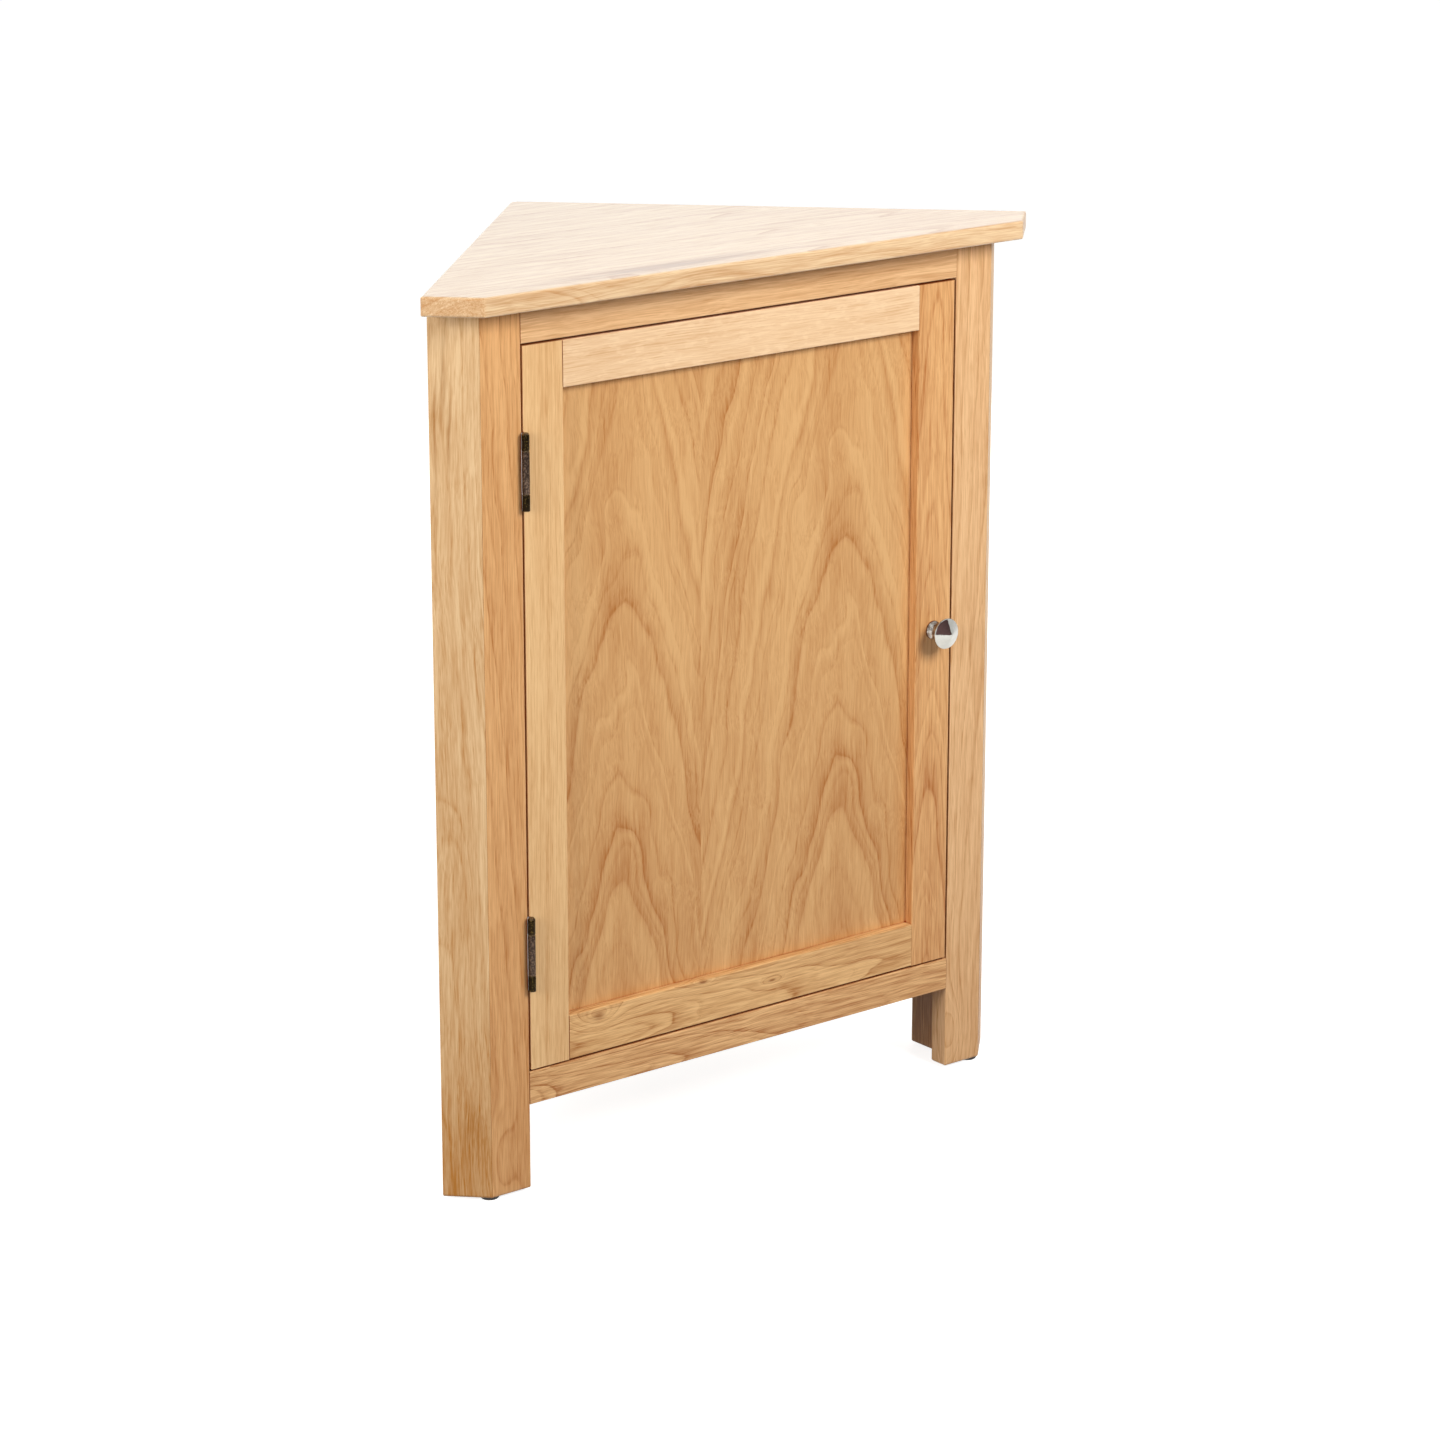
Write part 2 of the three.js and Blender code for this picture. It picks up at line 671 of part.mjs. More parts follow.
const knobScrew = screw('knob_screw', steel(), knobBoltPlace, facing.back, knobScrewSizes);
drillFor(knobScrew, knobScrewSizes, doorStileRight);
const boltReach = knobScrewLength - doorThickness + fitGap;
cut(stem, aim(tool(pegShape(2 * boltReach, longScrewShankRadius + boreGap), knobX, 0, knobZ), facing.front));
door.add(stem, head, knobScrew);

// Steel plate for the catch, screwed to the back of the top rail
const plateZ = catchTop - fitGap - plateHeight / 2;
const plateShape = new THREE.BoxGeometry(plateWidth, plateThickness, plateHeight);
const plate = piece('catch_plate', plateShape, steel(), catchX, doorThickness + plateThickness / 2, plateZ);
const platePlace = [catchX, doorThickness + plateThickness, plateZ];
const plateScrew = screw('plate_screw', steel(), platePlace, facing.back, smallScrew);
drillFor(plateScrew, smallScrew, plate, doorRailTop, doorStileRight);
door.add(plate, plateScrew);

// Butt hinges. Each is made about its own pin, with the leaves running back into the gap.
// turn is -1 for the leaf on the post and 1 for the leaf on the door.
function hingeLeaf(name, turn, knuckles, x, y, z) {
  const faceX = turn * (doorGap / 2 + leafRecess);
  const middleX = faceX - turn * leafThickness / 2;
  const back = knuckleRadius + fitGap + leafDepth;
  const start = knuckleRadius + fitGap;
  const flat = new THREE.BoxGeometry(leafThickness, back - start, hingeLength);
  const leaf = piece(name, flat.translate(middleX, (start + back) / 2, 0), bronze(), x, y, z);
  knuckles.forEach(([low, high]) => {
    const length = high - low;
    const middle = (low + high) / 2;
    const neckReach = start + leafThickness;
    const barrel = tool(pegShape(length, knuckleRadius), x, y, z + middle);
    const neck = new THREE.BoxGeometry(leafThickness, neckReach, length).translate(middleX, neckReach / 2, 0);
    join(leaf, tool(neck, x, y, z + middle));
    join(leaf, barrel);
  });
  return cut(leaf, tool(pegShape(hingeLength * 2, pinRadius + boreGap), x, y, z));
}

function hinge(label, z) {
  const half = hingeLength / 2;
  const split = middleKnuckleLength / 2;
  const outer = [[-half, -split - knuckleGap], [split + knuckleGap, half]];
  const postLeaf = hingeLeaf(`hinge_${label}_post_leaf`, -1, outer, pinX, pinY, z);
  const doorLeaf = hingeLeaf(`hinge_${label}_door_leaf`, 1, [[-split, split]], pinX, pinY, z);
  const pin = piece(`hinge_${label}_pin`, turned([
    [0, -half], [pinRadius, -half], [pinRadius, half + boreGap], [pinTipRadius, half + boreGap],
    [pinTipRadius - pinTip / 2, half + pinTip], [0, half + pinTip],
  ], roundSteps), bronze(), pinX, pinY, z);
  const leafRoom = (turn) => {
    const depth = leafRecess + boreGap;
    const room = new THREE.BoxGeometry(2 * depth, 2 * (leafDepth + fitGap), hingeLength + 2 * fitGap);
    return tool(room, pinX + turn * doorGap / 2, 0, z);
  };
  cut(left.stile, leafRoom(-1));
  cut(doorStileLeft, leafRoom(1));
  const screwY = (pinY + knuckleRadius + fitGap + leafDepth) / 2 + fitGap;
  [['low', -1], ['high', 1]].forEach(([place, level]) => {
    const screwZ = z + level * half * leafScrewShare;
    const inset = doorGap / 2 + leafRecess - leafThickness;
    const postScrew = screw(`hinge_${label}_post_screw_${place}`, bronze(), [pinX - inset, screwY, screwZ],
      facing.right, smallScrew);
    drillFor(postScrew, smallScrew, postLeaf, left.stile);
    const doorScrew = screw(`hinge_${label}_door_screw_${place}`, bronze(), [pinX + inset, screwY, screwZ],
      facing.left, smallScrew);
    drillFor(doorScrew, smallScrew, doorLeaf, doorStileLeft);
    carcase.add(postScrew);
    door.add(doorScrew);
  });
  carcase.add(postLeaf, pin);
  door.add(doorLeaf);
}

hinge('upper', doorTop - hingeEndDistance - hingeLength / 2);
hinge('lower', doorBottom + hingeEndDistance + hingeLength / 2);

// The cupboard's origin is on the floor, in the middle of its width and depth.
const cupboard = new THREE.Group();
cupboard.add(carcase, door);
cupboard.position.y = -(apexBackY - topFrontOverhang) / 2;

export default cupboard;
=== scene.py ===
import math

import bpy
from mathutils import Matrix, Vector


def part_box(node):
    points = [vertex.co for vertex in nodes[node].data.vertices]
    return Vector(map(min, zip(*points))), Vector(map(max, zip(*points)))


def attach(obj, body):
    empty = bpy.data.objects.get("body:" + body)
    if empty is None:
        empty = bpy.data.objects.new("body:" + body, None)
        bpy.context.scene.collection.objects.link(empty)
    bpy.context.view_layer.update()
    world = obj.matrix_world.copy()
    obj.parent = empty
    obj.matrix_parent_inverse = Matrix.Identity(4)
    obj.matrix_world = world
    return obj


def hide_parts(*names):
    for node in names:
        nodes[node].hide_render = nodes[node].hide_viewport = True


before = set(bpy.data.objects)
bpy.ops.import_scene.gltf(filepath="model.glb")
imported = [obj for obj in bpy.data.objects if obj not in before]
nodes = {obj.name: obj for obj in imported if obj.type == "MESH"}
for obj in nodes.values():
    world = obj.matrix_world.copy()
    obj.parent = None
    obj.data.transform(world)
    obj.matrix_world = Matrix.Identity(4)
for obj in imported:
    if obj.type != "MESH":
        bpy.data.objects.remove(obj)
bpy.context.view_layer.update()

# Camera. It stands ahead of the hinge side of the cupboard, at a standing person's eye height,
# and looks down on the worktop through a long portrait lens.
camera_place = (-2.50505, -3.27325, 1.56818)
camera_pitch = 16.203
camera_heading = 38.526
camera = bpy.data.cameras.new("camera")
camera.lens = 110.98
camera.sensor_width = 36.0
camera_object = bpy.data.objects.new("camera", camera)
camera_object.location = camera_place
camera_object.rotation_euler = (math.radians(90 - camera_pitch), 0, math.radians(-camera_heading))
bpy.context.scene.collection.objects.link(camera_object)
bpy.context.scene.camera = camera_object
bpy.context.scene.view_settings.view_transform = "Standard"


# Studio room. The walls are soft white light all round, and what looks straight at them,
# or at their reflection, sees plain white.
def add_node(tree, kind, inputs=None, **fields):
    """Adds one shader node. Inputs are given by name or number, as values or other nodes' outputs."""
    made = tree.nodes.new("ShaderNode" + kind)
    for field, value in fields.items():
        setattr(made, field, value)
    for place, value in (inputs or {}).items():
        if isinstance(value, bpy.types.NodeSocket):
            tree.links.new(value, made.inputs[place])
        else:
            made.inputs[place].default_value = value
    return made


def seen_directly(tree):
    """One where the eye, a reflection or a view through glass meets the surface, else nought."""
    path = add_node(tree, "LightPath")
    first = add_node(tree, "Math", {0: path.outputs["Is Camera Ray"], 1: path.outputs["Is Glossy Ray"]},
                     operation="MAXIMUM")
    both = add_node(tree, "Math", {0: first.outputs[0], 1: path.outputs["Is Transmission Ray"]},
                    operation="MAXIMUM")
    return both.outputs[0]


wall_light = 0.3
wall_tint = (1.0, 0.965, 0.91, 1)
room = bpy.data.worlds.new("studio_room")
room.use_nodes = True
room.node_tree.nodes.clear()
room_light = add_node(room.node_tree, "Background", {"Color": wall_tint, "Strength": wall_light})
room_white = add_node(room.node_tree, "Background", {"Color": (1, 1, 1, 1), "Strength": 1.0})
room_mix = add_node(room.node_tree, "MixShader", {0: seen_directly(room.node_tree),
                                                  1: room_light.outputs[0], 2: room_white.outputs[0]})
add_node(room.node_tree, "OutputWorld", {"Surface": room_mix.outputs[0]})
bpy.context.scene.world = room


# Studio floor. A wide sweep of pale paper that fades to white, and keeps the soft shadow
# that the cupboard's feet throw on it.
floor_reach = 30.0
bpy.ops.object.select_all(action="DESELECT")
bpy.ops.mesh.primitive_plane_add(size=2 * floor_reach, location=(0, 0, 0))
studio_floor = bpy.context.object
studio_floor.name = "studio_floor"
bpy.ops.object.transform_apply(location=True, rotation=True, scale=True)
paper = bpy.data.materials.new("studio_paper")
paper.use_nodes = True
paper.node_tree.nodes.clear()
paper_bounce = add_node(paper.node_tree, "BsdfDiffuse", {"Color": (0.12, 0.115, 0.11, 1)})
paper_shade = add_node(paper.node_tree, "BsdfDiffuse", {"Color": (0.62, 0.62, 0.62, 1)})
paper_white = add_node(paper.node_tree, "Emission", {"Color": (1, 1, 1, 1), "Strength": 0.83})
paper_seen = add_node(paper.node_tree, "AddShader", {0: paper_shade.outputs[0], 1: paper_white.outputs[0]})
paper_mix = add_node(paper.node_tree, "MixShader", {0: seen_directly(paper.node_tree),
                                                    1: paper_bounce.outputs[0], 2: paper_seen.outputs[0]})
add_node(paper.node_tree, "OutputMaterial", {"Surface": paper_mix.outputs[0]})
studio_floor.data.materials.append(paper)


# Studio lamps. A soft box hangs high in front of the door, a little to the right. A wider one at the
# left lights the turned-back side of the post, and one behind puts a sheen on the worktop. Two low
# fills behind light the wall sides.
def soft_box(name, place, aim_at, size, power, colour, mirrored=True):
    """Hangs a square lamp at a place, facing a point. mirrored is whether metal reflects it."""
    lamp = bpy.data.lights.new(name, "AREA")
    lamp.shape = "SQUARE"
    lamp.size = size
    lamp.energy = power
    lamp.color = colour
    hung = bpy.data.objects.new(name, lamp)
    hung.location = place
    hung.visible_glossy = mirrored
    hung.rotation_euler = (Vector(aim_at) - Vector(place)).to_track_quat("-Z", "Y").to_euler()
    bpy.context.scene.collection.objects.link(hung)


warm_light = (1.0, 0.975, 0.94)
cool_light = (1.0, 0.99, 0.98)
fill_light = (1.0, 0.98, 0.95)
soft_box("lamp_front", (0.47, -1.91, 1.67), (0, 0, 0.6), size=0.9, power=39, colour=warm_light,
         mirrored=False)
soft_box("lamp_left", (-2.9, -0.75, 1.45), (-0.1, 0, 0.6), size=1.4, power=55, colour=warm_light,
         mirrored=False)
soft_box("lamp_behind", (1.9, 2.4, 1.9), (0, 0, 0.85), size=2.0, power=9.1, colour=cool_light)
for side, label in ((-1, "left"), (1, "right")):
    soft_box(f"lamp_fill_{label}", (side * 2.5, 1.9, 1.0), (0, 0.1, 0.4), size=1.3, power=26,
             colour=fill_light, mirrored=False)


# Dark card. It stands on the floor in front of the door, out of the picture, and only bright metal
# sees it, so that the knob and the hinges have something dark to reflect.
bpy.ops.object.select_all(action="DESELECT")
bpy.ops.mesh.primitive_plane_add(size=1, location=(1.1, -2.7, 1.25), rotation=(math.radians(90), 0, 0))
dark_card = bpy.context.object
dark_card.name = "studio_dark_card"
dark_card.scale = (3.7, 2.5, 1)
bpy.ops.object.transform_apply(location=True, rotation=True, scale=True)
card_paint = bpy.data.materials.new("studio_dark_card")
card_paint.use_nodes = True
card_shader = card_paint.node_tree.nodes["Principled BSDF"]
card_shader.inputs["Base Color"].default_value = (0.34, 0.2, 0.21, 1)
card_shader.inputs["Roughness"].default_value = 0.9
dark_card.data.materials.append(card_paint)
dark_card.visible_camera = False
dark_card.visible_diffuse = False
dark_card.visible_shadow = False


# Front posts. Each is an oak stile on the front, another glued to it on a mitre and turned back
# at 45 degrees, and a square leg glued behind the stile for the whole height.
def tint(red, green, blue):
    """A paint chart's colour, 0 to 255, as the light that a lamp gives back from it."""
    light = [c / 12.92 if c <= 0.04045 else ((c + 0.055) / 1.055) ** 2.4
             for c in (red / 255, green / 255, blue / 255)]
    return (*light, 1)


def vector_step(tree, operation, first, second):
    """Joins two vectors, or a vector and a plain triple."""
    return add_node(tree, "VectorMath", {0: first, 1: second}, operation=operation).outputs[0]


def number_step(tree, operation, first, second=0.0, third=0.0):
    """Joins two or three numbers."""
    return add_node(tree, "Math", {0: first, 1: second, 2: third}, operation=operation).outputs[0]


def ramp(tree, value, stops, smooth="LINEAR"):
    """Turns a number into another by a row of (place, height) stops."""
    made = add_node(tree, "ValToRGB", {0: value})
    made.color_ramp.interpolation = smooth
    for index, (place, height) in enumerate(stops):
        stop = made.color_ramp.elements[index] if index < 2 else made.color_ramp.elements.new(place)
        stop.position = place
        stop.color = (height, height, height, 1)
    return made.outputs[0]


def grain_noise(tree, place, stretch, detail, rough=0.5):
    """Noise with its own spacing across, into and along the wood, from 0 to 1."""
    spread = vector_step(tree, "MULTIPLY", place, stretch)
    return add_node(tree, "TexNoise", {"Vector": spread, "Scale": 1.0, "Detail": detail,
                                       "Roughness": rough})


# Painted shade in the gaps and the inside corners: how far the occlusion looks, and the red-brown that the
# wood is darkened to there.
painted_shade_reach = 0.003
painted_gap_shade_colour = (160, 58, 18)


def oak_board(name, middle, turn, heart, ring, slope, seed, pale, dark, sway=0.012, wild=0.006,
              lump=(30, 30, 4.5), band=0.35, lines=0.36, tone=0.3, leaf=None, knots=(), rays=0.0,
              wave=0.3, painted_foot_shade=0.0, burnt=(104, 66, 34), soft=0.2):
    """Oak as it is sawn from a tree, in colours from pale to dark.

    middle and turn place the board with its grain along its own Z. heart is where the tree's middle
    lies across and behind the board, ring the growth of a year and slope how fast the tree narrows
    upwards. sway, wave and wild are how much the grain wanders, and lump how close its bumps lie.
    band, lines, tone and rays are how strongly the year rings, the fibres, the slow drift of colour
    and the silver rays show. soft is how much the years' colours differ, butt how much painted shade
    darkens the wood towards its lower end, and leaf the width at which a sliced veneer repeats. Each knot
    is (across, along, width, length, swelling, core), and burnt is the colour of its core."""
    pores = 0.36
    leaf_slip = 0.021
    wood = bpy.data.materials.new(name)
    wood.use_nodes = True
    tree = wood.node_tree
    shader = tree.nodes["Principled BSDF"]
    place = add_node(tree, "TexCoord").outputs["Object"]
    turned = [math.radians(a) for a in turn]
    own = add_node(tree, "Mapping", {"Vector": place, "Location": middle, "Rotation": turned},
                   vector_type="TEXTURE").outputs[0]
    whole = own
    if leaf:
        # Sliced leaves lie side by side, each a copy of the last, moved a little along the grain.
        split = add_node(tree, "SeparateXYZ", {0: own})
        across = number_step(tree, "DIVIDE", split.outputs[0], leaf)
        count = number_step(tree, "FLOOR", across)
        inside = number_step(tree, "MULTIPLY", number_step(tree, "SUBTRACT", across, count), leaf)
        along = number_step(tree, "MULTIPLY_ADD", count, -leaf_slip, split.outputs[2])
        own = add_node(tree, "CombineXYZ", {0: inside, 1: split.outputs[1], 2: along}).outputs[0]
    seeded = vector_step(tree, "ADD", own, (0.37 * seed, 0.21 * seed, seed))
    # Slow and quick wandering of the grain.
    slow = grain_noise(tree, seeded, (9, 9, 2.2), 2).outputs["Color"]
    quick = grain_noise(tree, seeded, (60, 60, 22), 2).outputs["Color"]
    slow = vector_step(tree, "SUBTRACT", slow, (0.5, 0.5, 0.5))
    quick = vector_step(tree, "SUBTRACT", quick, (0.5, 0.5, 0.5))
    bent = vector_step(tree, "ADD", own, vector_step(tree, "MULTIPLY", slow, (sway, sway, sway * 2)))
    bent = vector_step(tree, "ADD", bent, vector_step(tree, "MULTIPLY", quick, (0.0009, 0.0009, 0.006)))
    middling = grain_noise(tree, seeded, (26, 26, 13), 1).outputs["Color"]
    middling = vector_step(tree, "SUBTRACT", middling, (0.5, 0.5, 0.5))
    middling = vector_step(tree, "MULTIPLY", middling, (0.012 * wave, 0.012 * wave, 0.05 * wave))
    bent = vector_step(tree, "ADD", bent, middling)
    height = add_node(tree, "SeparateXYZ", {0: bent}).outputs[2]
    flat = vector_step(tree, "MULTIPLY", bent, (1, 1, 0))
    radius = add_node(tree, "VectorMath", {0: flat, 1: (*heart, 0)}, operation="DISTANCE").outputs[1]
    grown = number_step(tree, "MULTIPLY_ADD", height, slope, radius)
    lumps = grain_noise(tree, seeded, lump, 2, 0.5).outputs[0]
    grown = number_step(tree, "MULTIPLY_ADD", number_step(tree, "SUBTRACT", lumps, 0.5), wild, grown)
    core = None
    unsliced = vector_step(tree, "ADD", whole, vector_step(tree, "SUBTRACT", bent, own))
    for knot_x, knot_z, knot_width, knot_length, knot_swelling, knot_core in knots:
        # A small branch pushes the rings out round itself and leaves a dark core.
        away = vector_step(tree, "SUBTRACT", unsliced, (knot_x, 0, knot_z))
        away = vector_step(tree, "MULTIPLY", away, (1 / knot_width, 0, 1 / knot_length))
        square = add_node(tree, "VectorMath", {0: away, 1: away}, operation="DOT_PRODUCT").outputs[1]
        bulge = number_step(tree, "EXPONENT", number_step(tree, "MULTIPLY", square, -1.0))
        grown = number_step(tree, "MULTIPLY_ADD", bulge, knot_swelling, grown)
        dot = number_step(tree, "EXPONENT", number_step(tree, "MULTIPLY", square, -12.0))
        dot = number_step(tree, "MULTIPLY", dot, knot_core)
        core = dot if core is None else number_step(tree, "ADD", core, dot)
    years = number_step(tree, "DIVIDE", grown, ring)
    # Good and bad years make wide and narrow rings, some of them strongly marked.
    weather = add_node(tree, "TexNoise", {"W": years, "Scale": 0.43, "Detail": 1}, noise_dimensions="1D")
    years = number_step(tree, "MULTIPLY_ADD", weather.outputs[0], 2.6, years)
    year = number_step(tree, "FLOOR", years)
    season = number_step(tree, "SUBTRACT", years, year)
    mark = add_node(tree, "TexWhiteNoise", {"W": year}, noise_dimensions="1D").outputs[0]
    mark = number_step(tree, "MULTIPLY_ADD", number_step(tree, "MULTIPLY", mark, mark), 0.7, 0.3)
    spring = ramp(tree, season, [(0.0, 0.5), (0.06, 1.0), (0.2, 0.5), (0.55, 0.15), (0.9, 0.0),
                                 (1.0, 0.5)])
    spring = number_step(tree, "MULTIPLY", spring, mark)
    # Open pores, which lie in short dashes along the spring wood.
    fine = grain_noise(tree, bent, (1500, 1500, 75), 1).outputs[0]
    fine = ramp(tree, fine, [(0.5, 0.0), (0.66, 1.0)])
    coarse = grain_noise(tree, bent, (620, 620, 34), 1).outputs[0]
    coarse = ramp(tree, coarse, [(0.5, 0.0), (0.68, 1.0)])
    dashes = number_step(tree, "MAXIMUM", fine, coarse)
    open_share = number_step(tree, "MULTIPLY_ADD", spring, 0.65, 0.35)
    open_pores = number_step(tree, "MULTIPLY", dashes, open_share)
    # Fibres a millimetre or two wide, and the slow drift of colour from sap to heart.
    fibre = grain_noise(tree, bent, (480, 480, 12), 3, 0.7).outputs[0]
    crisp = ramp(tree, fibre, [(0.36, 0.0), (0.62, 1.0)])
    hair = grain_noise(tree, bent, (1250, 1250, 26), 1).outputs[0]
    hair = ramp(tree, hair, [(0.38, 0.0), (0.62, 1.0)])
    fleck = grain_noise(tree, bent, (700, 700, 17), 2, 0.6).outputs[0]
    fleck = ramp(tree, fleck, [(0.62, 0.0), (0.7, 1.0)])
    drift = grain_noise(tree, seeded, (24, 24, 3.2), 3, 0.55).outputs[0]
    drift = ramp(tree, drift, [(0.3, 0.0), (0.7, 1.0)], "EASE")
    shade = number_step(tree, "MULTIPLY", spring, band)
    cast = add_node(tree, "TexNoise", {"W": years, "Scale": 0.7, "Detail": 1}, noise_dimensions="1D")
    cast = ramp(tree, cast.outputs[0], [(0.3, 0.0), (0.7, 1.0)])
    shade = number_step(tree, "MULTIPLY_ADD", number_step(tree, "SUBTRACT", cast, 0.5), soft, shade)
    shade = number_step(tree, "MULTIPLY_ADD", open_pores, pores, shade)
    shade = number_step(tree, "MULTIPLY_ADD", drift, tone, shade)
    for strands, strength in ((crisp, 1.1), (hair, 0.8)):
        strands = number_step(tree, "SUBTRACT", strands, 0.4)
        shade = number_step(tree, "MULTIPLY_ADD", strands, strength * lines, shade)
    shade = number_step(tree, "MULTIPLY_ADD", fleck, 0.9 * lines, shade)
    if rays:
        # Silver rays, cut nearly along their faces.
        silver = grain_noise(tree, seeded, (240, 240, 90), 1).outputs[0]
        silver = ramp(tree, silver, [(0.56, 0.0), (0.68, 1.0)])
        shade = number_step(tree, "MULTIPLY_ADD", silver, -rays, shade)
    if core is not None:
        shade = number_step(tree, "ADD", core, shade)
    if painted_foot_shade:
        # Painted shade: the lower half of the board is darker towards its foot, where less light reaches.
        low_end = number_step(tree, "SUBTRACT", 0.0, add_node(tree, "SeparateXYZ", {0: own}).outputs[2])
        low_end = ramp(tree, low_end, [(0.0, 0.0), (0.4, 1.0)])
        shade = number_step(tree, "MULTIPLY_ADD", low_end, painted_foot_shade, shade)
    # Sawn ends drink more lacquer and are darker than the long faces.
    facing = add_node(tree, "TexCoord").outputs["Normal"]
    facing = add_node(tree, "Mapping", {"Vector": facing, "Rotation": turned}, vector_type="TEXTURE")
    sawn = add_node(tree, "SeparateXYZ", {0: facing.outputs[0]}).outputs[2]
    sawn = number_step(tree, "MULTIPLY", sawn, sawn)
    shade = number_step(tree, "MULTIPLY_ADD", sawn, 0.55, shade)
    colour = add_node(tree, "ValToRGB", {0: shade})
    colour.color_ramp.elements[0].position = 0.0
    colour.color_ramp.elements[0].color = tint(*pale)
    colour.color_ramp.elements[1].position = 1.0
    colour.color_ramp.elements[1].color = tint(*dark)
    if core is not None:
        stained = number_step(tree, "MULTIPLY_ADD", crisp, 0.55, 0.15)
        stained = number_step(tree, "MULTIPLY", core, stained)
        colour = add_node(tree, "MixRGB", {0: stained, 1: colour.outputs[0], 2: tint(*burnt)})
    # Painted shade: in the gaps and the inside corners that the ambient occlusion finds, the colour is
    # darkened to a red-brown and the gloss is taken away.
    open_sky = add_node(tree, "AmbientOcclusion", {"Distance": painted_shade_reach}, samples=8).outputs["AO"]
    painted_gap_shade = ramp(tree, open_sky, [(0.4, 0.98), (0.52, 0.3), (0.7, 0.0)])
    colour_with_painted_shade = add_node(tree, "MixRGB", {0: painted_gap_shade, 1: colour.outputs[0], 2: tint(*painted_gap_shade_colour)})
    tree.links.new(colour_with_painted_shade.outputs[0], shader.inputs["Base Color"])
    gloss = number_step(tree, "MULTIPLY_ADD", painted_gap_shade, -0.6, 0.5)
    tree.links.new(gloss, shader.inputs["Specular IOR Level"])
    polish = number_step(tree, "MULTIPLY_ADD", open_pores, 0.2, 0.38)
    tree.links.new(number_step(tree, "MULTIPLY_ADD", fibre, 0.1, polish), shader.inputs["Roughness"])
    relief = number_step(tree, "MULTIPLY", fibre, 0.5)
    relief = number_step(tree, "MULTIPLY_ADD", open_pores, -1.0, relief)
    bump = add_node(tree, "Bump", {"Height": relief, "Strength": 0.22, "Distance": 0.00025})
    tree.links.new(bump.outputs[0], shader.inputs["Normal"])
    shader.inputs["IOR"].default_value = 1.47
    return wood


def finish_node(name, material):
    """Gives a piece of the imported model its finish."""
    for slot in nodes[name].material_slots:
        slot.material = material


for side, label in ((-1, "left"), (1, "right")):
    finish_node(f"front_stile_{label}", oak_board(
        f"oak_front_stile_{label}", (side * 0.277, -0.166, 0.417), (0, 0, 0), heart=(side * 0.03, 0.05),
        ring=0.0042, slope=0.035, seed=3.1 + side, band=0.42,
        pale=(236 + 3 * side, 189 + 7 * side, 136 + 11 * side),
        dark=(184 + 3 * side, 124 + 6 * side, 68 + 7 * side), wild=0.004, lines=0.3, tone=0.2, painted_foot_shade=0.11,
        knots=[(-0.01, -0.38, 0.015, 0.042, 0.014, 0.0)]))
    finish_node(f"return_stile_{label}", oak_board(
        f"oak_return_stile_{label}", (side * 0.3154, -0.1497, 0.417), (0, 0, side * 45),
        heart=(side * 0.02, 0.035), ring=0.0045, slope=0.03, seed=7.3 + side, pale=(234, 201, 156),
        dark=(174, 113, 40), sway=0.03, band=0.28, lines=0.22, painted_foot_shade=0.46, knots=[
            (0.004, -0.345, 0.034, 0.1, 0.003, 0.2), (-0.008, 0.345, 0.008, 0.14, 0.0, 0.45),
            (-0.014, 0.29, 0.006, 0.18, 0.0, 0.4), (-0.002, 0.3, 0.005, 0.12, 0.0, 0.35)]))
    # The legs take a strong painted shade towards their feet, for the shaded inner face under the cupboard.
    finish_node(f"corner_leg_{label}", oak_board(
        f"oak_corner_leg_{label}", (side * 0.29, -0.13, 0.417), (0, 0, 30), heart=(0.01, 0.07), ring=0.0035,
        slope=0.02, seed=11.4 + side, pale=(222, 172, 110), dark=(148, 92, 32), painted_foot_shade=0.5))


# Front rails. Two solid oak rails with stub tenons, glued into the front stiles
# above and below the door.
rail_along = (0, 90, 0)
finish_node("top_rail", oak_board("oak_top_rail", (0, -0.156, 0.815), rail_along, heart=(0.07, 0.08),
                                  ring=0.0024, slope=0.01, seed=2.2, pale=(238, 196, 148),
                                  dark=(188, 134, 80), band=0.25, lines=0.32))
finish_node("bottom_rail", oak_board("oak_bottom_rail", (0, -0.156, 0.101), rail_along, heart=(0.016, 0.03),
                                     ring=0.0026, slope=0.028, seed=5.7, pale=(240, 194, 138),
                                     dark=(168, 106, 52), sway=0.02, wild=0.006, band=0.75, lines=0.42))


# Rear post. A square oak post, set back from the corner of the room, which the two wall sides
# are glued to.
rear_low, rear_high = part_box("rear_post")
finish_node("rear_post", oak_board(
    "oak_rear_post", (rear_low + rear_high) / 2, (0, 0, 45), heart=(0.03, 0.06), ring=0.0045,
    slope=0.02, seed=9.9, pale=(224, 180, 126), dark=(178, 126, 72)))


# Wall sides. Thin boards faced with crown-cut oak veneer, let in between the posts.
for side, label in ((-1, "left"), (1, "right")):
    low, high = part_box(f"wall_panel_{label}")
    finish_node(f"wall_panel_{label}", oak_board(
        f"veneer_wall_{label}", (low + high) / 2, (0, 0, -side * 45), heart=(0.12, 0.04), ring=0.005,
        slope=0.05, seed=13.0 + side, pale=(224, 182, 130), dark=(186, 134, 80), sway=0.03, wild=0.03,
        leaf=0.24))


# Battens. Plain oak strips, glued and pinned to the wall sides, that hold the floor board
# and the worktop.
for side, label in ((-1, "left"), (1, "right")):
    for level in ("top", "floor"):
        low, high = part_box(f"{level}_batten_{label}")
        finish_node(f"{level}_batten_{label}", oak_board(
            f"oak_{level}_batten_{label}", (low + high) / 2, (90, 0, 45 * side), heart=(0.03, 0.08),
            ring=0.004, slope=0.02, seed=17.0 + side + len(level), pale=(230, 193, 142),
            dark=(188, 140, 86)))


